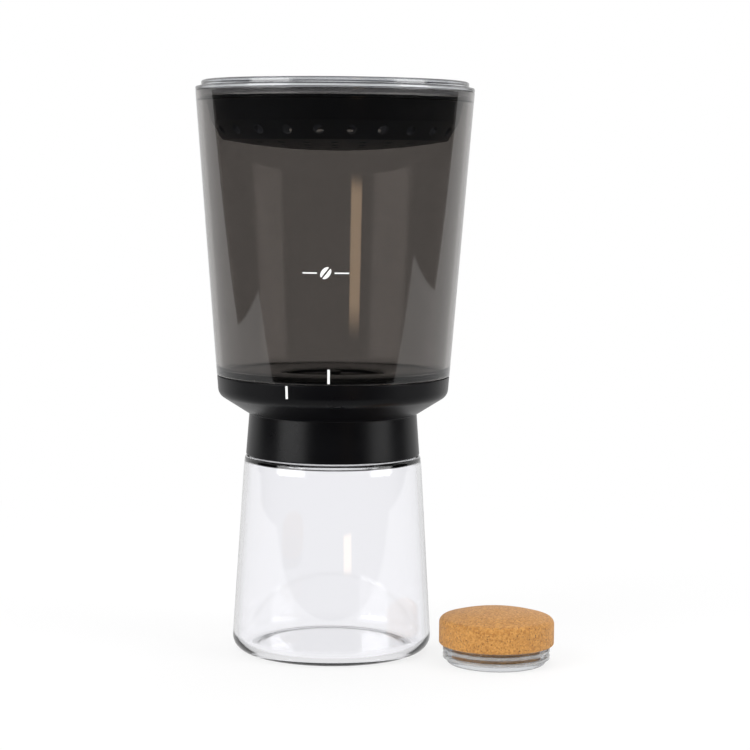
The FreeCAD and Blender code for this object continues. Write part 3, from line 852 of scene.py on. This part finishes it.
@dataclass
class DishSizes:
    """Sizes of the rain dish in millimetres."""

    flange_r: float = 63.55
    flange_z: float = 262.0
    flange: float = 1.6
    side_top_r: float = 60.6
    side_r: float = 58.5
    side_z: float = 252.2
    band_r: float = 53.3
    band_z: float = 243.6
    bottom_z: float = 238.9
    wall: float = 1.8
    side_hole_r: float = 2.4
    side_holes: int = 24
    drip_hole_r: float = 1.7
    rings: tuple[tuple[float, int], ...] = ((45.0, 22), (36.0, 18), (27.0, 14), (18.0, 9))
    dome_steps: int = 12
    side_bit: float = 8.0
    drip_bit: float = 20.0
    drip_bit_drop: float = 3.0
    bit_sides: int = 24


class RainDish(SubAssembly):
    """The perforated dish that spreads the water."""

    size: DishSizes

    def build(self) -> None:
        """Model the dish and drill its holes."""
        size = self.size
        dome = size.band_z - size.bottom_z
        shares = [k / size.dome_steps for k in range(1, size.dome_steps)]
        lower = [(size.band_r * share, size.bottom_z + dome * share ** 2) for share in shares]
        upper = [(r, z + size.wall) for r, z in reversed(lower)]
        dish = Modeller.turned("rain_dish_dressed", (
            [(0.0, size.bottom_z)]
            + lower
            + [
                (size.band_r, size.band_z, 1.0),
                (size.side_r, size.side_z, 1.2),
                (size.side_top_r, size.flange_z, 0.5),
                (size.flange_r, size.flange_z, 0.3),
                (size.flange_r, size.flange_z + size.flange, 0.4),
                (size.side_top_r - size.wall, size.flange_z + size.flange, 0.8),
                (size.side_r - size.wall, size.side_z + size.wall / 2.0, 1.0),
                (size.band_r - size.wall * 0.6, size.band_z + size.wall, 1.0),
            ]
            + upper
            + [(0.0, size.bottom_z + size.wall)]
        ))
        cutter = self.drill()
        Modeller.modify(dish, "BOOLEAN", operation="DIFFERENCE", solver="EXACT", object=cutter)
        bpy.data.objects.remove(cutter)
        Modeller.settle(dish, 28.0)
        self.keep(dish, DISH_PLASTIC, "dish", Slot.DISH, "rain_dish")

    def drill(self) -> Piece:
        """Model the drills for all holes as one mesh.

        Returns:
            The drills.
        """
        size = self.size
        Modeller.fresh()
        tilt = math.atan2(size.band_z - size.side_z, size.band_r - size.side_r)
        drills: list[Piece] = []
        middle = Vector(((size.side_r + size.band_r) / 2.0, 0.0, (size.side_z + size.band_z) / 2.0)) * MM
        for k in range(size.side_holes):
            turn = math.tau * (k + 0.5) / size.side_holes
            place = Matrix.Rotation(turn, 4, "Z") @ Matrix.Translation(middle)
            place = place @ Matrix.Rotation(math.pi - tilt, 4, "Y")
            drills.append(self.bit(size.side_hole_r, size.side_bit, size.bit_sides, place))
        for radius, count in size.rings:
            for k in range(count):
                turn = math.tau * (k + 0.5) / count
                spot = Vector((radius, 0.0, size.band_z - size.drip_bit_drop)) * MM
                place = Matrix.Rotation(turn, 4, "Z") @ Matrix.Translation(spot)
                drills.append(self.bit(size.drip_hole_r, size.drip_bit, size.bit_sides, place))
        Modeller.fresh()
        for drill in drills:
            drill.select_set(True)
        bpy.context.view_layer.objects.active = drills[0]
        bpy.ops.object.join()
        return bpy.context.object

    @staticmethod
    def bit(radius_mm: float, length_mm: float, sides: int, place: Matrix) -> Piece:
        """Model one drill.

        Args:
            radius_mm: Radius of the hole.
            length_mm: Length of the drill.
            sides: Its sides.
            place: Where its middle is and how it is turned.

        Returns:
            The drill.
        """
        bpy.ops.object.select_all(action="DESELECT")
        bpy.ops.mesh.primitive_cylinder_add(vertices=sides, radius=radius_mm * MM, depth=length_mm * MM)
        drill = bpy.context.object
        drill.matrix_world = place
        return drill


@dataclass
class LidSizes:
    """Sizes of the lid in millimetres."""

    rim_z: float = 266.5
    flange_r: float = 65.9
    flange: float = 1.9
    ring_r: float = 63.2
    ring: float = 2.9
    ring_width: float = 3.0
    plate_top: float = 269.2
    plate: float = 2.0
    skirt_r: float = 63.9
    skirt_wall: float = 1.6
    skirt_drop: float = 2.4
    chamber_slope: float = 0.0776


class Lid(SubAssembly):
    """The clear lid."""

    size: LidSizes

    def build(self) -> None:
        """Model the lid."""
        size = self.size
        top = size.rim_z + size.flange
        low = size.rim_z - size.skirt_drop
        lid = Modeller.turned("lid_dressed", [
            (0.0, size.plate_top),
            (size.ring_r - size.ring_width, size.plate_top, 0.9),
            (size.ring_r - size.ring_width, top + size.ring, 1.0),
            (size.ring_r, top + size.ring, 1.1),
            (size.ring_r, top, 0.5),
            (size.flange_r, top, 0.6),
            (size.flange_r, size.rim_z, 0.5),
            (size.skirt_r, size.rim_z, 0.3),
            (size.skirt_r - size.chamber_slope * size.skirt_drop, low, 0.4),
            (size.skirt_r - size.skirt_wall, low, 0.4),
            (size.skirt_r - size.skirt_wall, size.plate_top - size.plate, 0.8),
            (0.0, size.plate_top - size.plate),
        ])
        self.keep(lid, CLEAR_PLASTIC, "lid", Slot.LID, "lid")


@dataclass
class StopperSizes:
    """Sizes of the stopper in millimetres."""

    x: float = 77.5
    y: float = -30.0
    plug_r: float = 24.0
    taper: float = 0.8
    plug_height: float = 9.0
    wall: float = 2.2
    cork_r: float = 27.0
    cork_side: float = 12.0
    cork_dome: float = 4.2
    cork_round: float = 3.0
    boss_gap: float = 0.4
    glue: float = 0.05


class Stopper(SubAssembly):
    """The cork stopper that lies beside the maker."""

    size: StopperSizes

    def build(self) -> None:
        """Model the cork and the plug. The rings are a node of the frame."""
        size = self.size
        centre = (size.x, size.y)
        side = size.plug_height + size.cork_side
        boss = size.plug_r - size.taper - size.wall - size.boss_gap
        low = size.wall + size.boss_gap
        cork = Modeller.turned("cork", [
            (0.0, low),
            (boss, low, 0.5),
            (boss, size.plug_height),
            (size.cork_r, size.plug_height, 0.8),
            (size.cork_r, side, size.cork_round),
            (size.cork_r * 0.6, side + size.cork_dome * 0.7, 40.0),
            (0.0, side + size.cork_dome),
        ], centre)
        self.keep(cork, CORK, "stopper", Slot.CORK, "cork_cap")
        foot = size.plug_r - size.taper
        plug = Modeller.turned("plug", [
            (0.0, 0.0),
            (foot, 0.0, 1.2),
            (size.plug_r, size.plug_height - size.glue, 0.3),
            (foot - size.wall, size.plug_height - size.glue, 0.3),
            (foot - size.wall, size.wall, 0.5),
            (0.0, size.wall),
        ], centre)
        self.keep(plug, CLEAR_PLASTIC, "stopper", Slot.LID, "stopper_plug")


class Insides(SubAssembly):
    """The frame's own nodes that keep their shape and get a material."""

    def __init__(self, palette: Palette, nodes: dict[str, Piece]) -> None:
        """Take the palette and the frame's nodes by name."""
        super().__init__(palette)
        self.nodes = nodes

    def build(self) -> None:
        """Give each visible frame node its material."""
        finishes = {
            "collar_core": SATIN_ABS,
            "carafe_gasket": GREY_SILICONE,
            "swivel_seal": GREY_SILICONE,
            "valve_guide": SATIN_ABS,
            "valve_stem": ACETAL,
            "valve_seal": GREY_SILICONE,
            "cam_follower": ACETAL,
            "stem_clip": SPRING_WIRE,
            "valve_spring": SPRING_WIRE,
            "filter_frame": SATIN_ABS,
            "filter_mesh": WIRE_CLOTH,
            "filter_gasket": GREY_SILICONE,
            "stopper_rings": CLEAR_SILICONE,
        }
        for name, finish in finishes.items():
            node, material = self.nodes[name], self.palette.material(finish)
            for place in node.material_slots:
                place.material = material
            if not node.material_slots:
                node.data.materials.append(material)
            LOG.info("frame node %s: %s", name, material.name)


@dataclass(frozen=True)
class Window:
    """A soft window of the room, in degrees round the upright axis and as the sine of its height."""

    left: float
    right: float
    bottom: float
    top: float
    level: float


@dataclass(frozen=True)
class Lamp:
    """A square soft lamp: its place and side in metres and its power in watts."""

    name: str
    place: tuple[float, float, float]
    side: float
    power: float


@dataclass
class StudioSizes:
    """Sizes of the studio in metres, its angles in degrees and its levels, where white is 1."""

    distance: float = 1.047
    eye_z: float = 0.2307
    focal_pixels: float = 2200.0
    yaw_deg: float = 1.09
    pitch_deg: float = 5.37
    roll_deg: float = 0.5
    aim_z: float = 0.12
    floor_size: float = 14.0
    floor_drop: float = 0.00005
    table_front: float = -0.32
    table_left: float = -0.97
    table_right: float = 1.2
    sweep_slope: float = 0.67
    sweep_front: float = -0.47
    sweep_side: float = 0.8
    strip_deg: tuple[float, float] = (14.0, 23.0)
    strip_reach: tuple[float, float] = (0.78, 1.45)
    shadow_reach: tuple[float, float] = (0.08, 0.5)
    shadow_share: float = 0.2
    edge: float = 0.01
    edge_deg: float = 0.8
    strip_level: float = 3.0
    white_level: float = 0.8
    upper_level: float = 0.4
    backdrop_deg: float = 114.0
    backdrop_edge_deg: float = 2.0
    upper_height: float = 0.3
    upper_edge: float = 0.12
    ceiling_height: float = 0.85
    ceiling_edge: float = 0.1
    room_level: float = 0.03
    ceiling_level: float = 0.6
    windows: tuple[Window, ...] = (
        Window(-78.0, -36.0, -0.02, 0.76, 2.4),
        Window(50.0, 84.0, -0.02, 0.76, 2.2),
        Window(-75.0, -39.0, -0.01, 0.24, 6.5),
        Window(53.0, 81.0, -0.01, 0.24, 6.0),
    )
    lamps: tuple[Lamp, ...] = (
        Lamp("key", (-0.9, -0.9, 1.5), 0.9, 7.0),
        Lamp("fill", (1.1, -0.8, 1.1), 0.8, 4.0),
        Lamp("top", (0.0, 0.3, 1.7), 1.2, 9.0),
    )


class Studio:
    """Floor, light and camera.

    What a shine sees, on a clear wall or the collar, is a white table and backdrop in a dim room with two soft
    windows. What is seen directly, or straight through a clear wall, is plain white.
    """

    def __init__(self, size: StudioSizes) -> None:
        """Take the studio's sizes."""
        self.size = size

    def floor(self) -> None:
        """Lay a plain pale floor that keeps a faint shadow."""
        size = self.size
        Modeller.fresh()
        bpy.ops.mesh.primitive_plane_add(size=size.floor_size, location=(0, 0, -size.floor_drop))
        floor = bpy.context.object
        floor.name = "floor"
        Modeller.settle(floor)
        material = bpy.data.materials.new("studio_floor_white")
        material.cycles.emission_sampling = "NONE"
        graph = Graph(material)
        path = graph.add("LightPath")
        place = graph.add("TexCoord", out="Object")
        parts = graph.add("SeparateXYZ", {0: place})
        away = graph.add("VectorMath", {0: place}, "Value", operation="LENGTH")
        side, depth = parts.outputs[0], parts.outputs[1]
        across = graph.add("Math", {0: side}, 0, operation="ABSOLUTE")
        line = graph.join("SUBTRACT", depth, graph.join("MULTIPLY", across, size.sweep_slope))
        table = graph.join(
            "MULTIPLY", graph.band(depth, size.table_front, FAR, size.edge),
            graph.band(side, size.table_left, size.table_right, size.edge))
        sweep = graph.join(
            "MULTIPLY", graph.band(line, size.sweep_front, FAR, size.edge),
            graph.band(across, size.sweep_side, FAR, size.edge))
        white = graph.join("MULTIPLY", graph.join("MAXIMUM", table, sweep), size.white_level)
        strip = graph.join(
            "MULTIPLY", graph.band(graph.azimuth(parts), *size.strip_deg, size.edge_deg),
            graph.band(away, *size.strip_reach, 8.0 * size.edge))
        room = graph.add("Emission", {
            "Color": linear(WHITE), "Strength": graph.join("MAXIMUM", white, size.room_level)}, 0)
        tan = graph.add("Emission", {"Color": linear(STRIP_TAN), "Strength": size.strip_level}, 0)
        shine = graph.add("MixShader", {0: strip, 1: room, 2: tan}, 0)
        clean = graph.add("MapRange", {
            "Value": away, "From Min": size.shadow_reach[0], "From Max": size.shadow_reach[1],
            "To Min": 1.0 - size.shadow_share}, "Result", interpolation_type="SMOOTHSTEP")
        straight = graph.join("LESS_THAN", path.outputs["Glossy Depth"], 0.5)
        seen = graph.join(
            "MAXIMUM", graph.join("MULTIPLY", path.outputs["Is Camera Ray"], clean),
            graph.join("MULTIPLY", path.outputs["Is Transmission Ray"], straight))
        matte = graph.add("BsdfDiffuse", {"Color": linear(FLOOR_WHITE)}, 0)
        glow = graph.add("Emission", {"Color": linear(WHITE), "Strength": 1.0}, 0)
        plain = graph.add("MixShader", {0: seen, 1: matte, 2: glow}, 0)
        mixed = graph.add("MixShader", {0: straight, 1: shine, 2: plain}, 0)
        graph.add("OutputMaterial", {"Surface": mixed})
        floor.data.materials.append(material)

    def world(self) -> None:
        """Put up the backdrop, the windows and the dim room."""
        size = self.size
        world = bpy.data.worlds.new("studio")
        bpy.context.scene.world = world
        graph = Graph(world)
        path = graph.add("LightPath")
        way = graph.add("TexCoord", out="Generated")
        parts = graph.add("SeparateXYZ", {0: way})
        azimuth = graph.azimuth(parts)
        height = parts.outputs[2]
        behind = graph.add("Math", {0: azimuth}, 0, operation="ABSOLUTE")
        fields = [
            (graph.band(behind, size.backdrop_deg, FAR, size.backdrop_edge_deg), size.white_level),
            (graph.band(height, size.upper_height, FAR, size.upper_edge), size.upper_level),
            (graph.band(height, size.ceiling_height, FAR, size.ceiling_edge), size.ceiling_level),
        ]
        for window in size.windows:
            across = graph.band(azimuth, window.left, window.right, size.edge_deg)
            tall = graph.band(height, window.bottom, window.top, 2.0 * size.edge)
            fields.append((graph.join("MULTIPLY", across, tall), window.level))
        level = graph.join("MAXIMUM", size.room_level, *(
            graph.join("MULTIPLY", field, strength) for field, strength in fields))
        straight = graph.join(
            "MULTIPLY", path.outputs["Is Transmission Ray"],
            *(graph.join("LESS_THAN", path.outputs[name], 0.5) for name in ("Glossy Depth", "Diffuse Depth")))
        seen = graph.join("MAXIMUM", path.outputs["Is Camera Ray"], straight)
        strength = graph.add("Mix", {0: seen, 2: level, 3: 1.0}, 0, data_type="FLOAT")
        glow = graph.add("Background", {"Color": linear(WHITE), "Strength": strength}, 0)
        graph.add("OutputWorld", {"Surface": glow})

    def lights(self) -> None:
        """Hang the soft lamps."""
        for lamp in self.size.lamps:
            Modeller.fresh()
            bpy.ops.object.light_add(type="AREA", location=lamp.place)
            light = bpy.context.object
            light.name = "lamp_" + lamp.name
            light.data.shape = "SQUARE"
            light.data.size = lamp.side
            light.data.energy = lamp.power
            aim = Vector((0.0, 0.0, self.size.aim_z)) - Vector(lamp.place)
            light.rotation_euler = aim.to_track_quat("-Z", "Y").to_euler()
            light.visible_glossy = False
            light.visible_transmission = False
            light.visible_camera = False

    def camera(self) -> None:
        """Stand the camera at the photograph's angle."""
        size = self.size
        Modeller.fresh()
        bpy.ops.object.camera_add(location=(0.0, -size.distance, size.eye_z))
        camera = bpy.context.object
        camera.name = "camera"
        camera.data.sensor_width = SENSOR_MM
        camera.data.lens = size.focal_pixels * SENSOR_MM / IMAGE_PIXELS
        camera.data.clip_start = 0.01
        camera.data.clip_end = 100.0
        turn = (
            Matrix.Rotation(-math.radians(size.yaw_deg), 4, "Z")
            @ Matrix.Rotation(math.radians(90.0 - size.pitch_deg), 4, "X")
            @ Matrix.Rotation(math.radians(size.roll_deg), 4, "Z")
        )
        camera.rotation_euler = turn.to_euler()
        bpy.context.scene.camera = camera

    def build(self) -> None:
        """Set up the whole studio."""
        self.floor()
        self.world()
        self.lights()
        self.camera()
        bpy.context.scene.view_settings.view_transform = "Standard"


def main() -> None:
    """Load the frame, model and dress every piece, and set up the studio."""
    logging.basicConfig(level=logging.INFO, format="%(message)s")
    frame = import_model()
    palette = Palette()
    groups: list[SubAssembly] = [
        Carafe(palette, CarafeSizes()),
        Collar(palette, CollarSizes()),
        Chamber(palette, ChamberSizes()),
        RainDish(palette, DishSizes()),
        Lid(palette, LidSizes()),
        Stopper(palette, StopperSizes()),
        Insides(palette, frame["nodes"]),
    ]
    for group in groups:
        group.build()
    Studio(StudioSizes()).build()


if __name__ == "__main__":
    main()
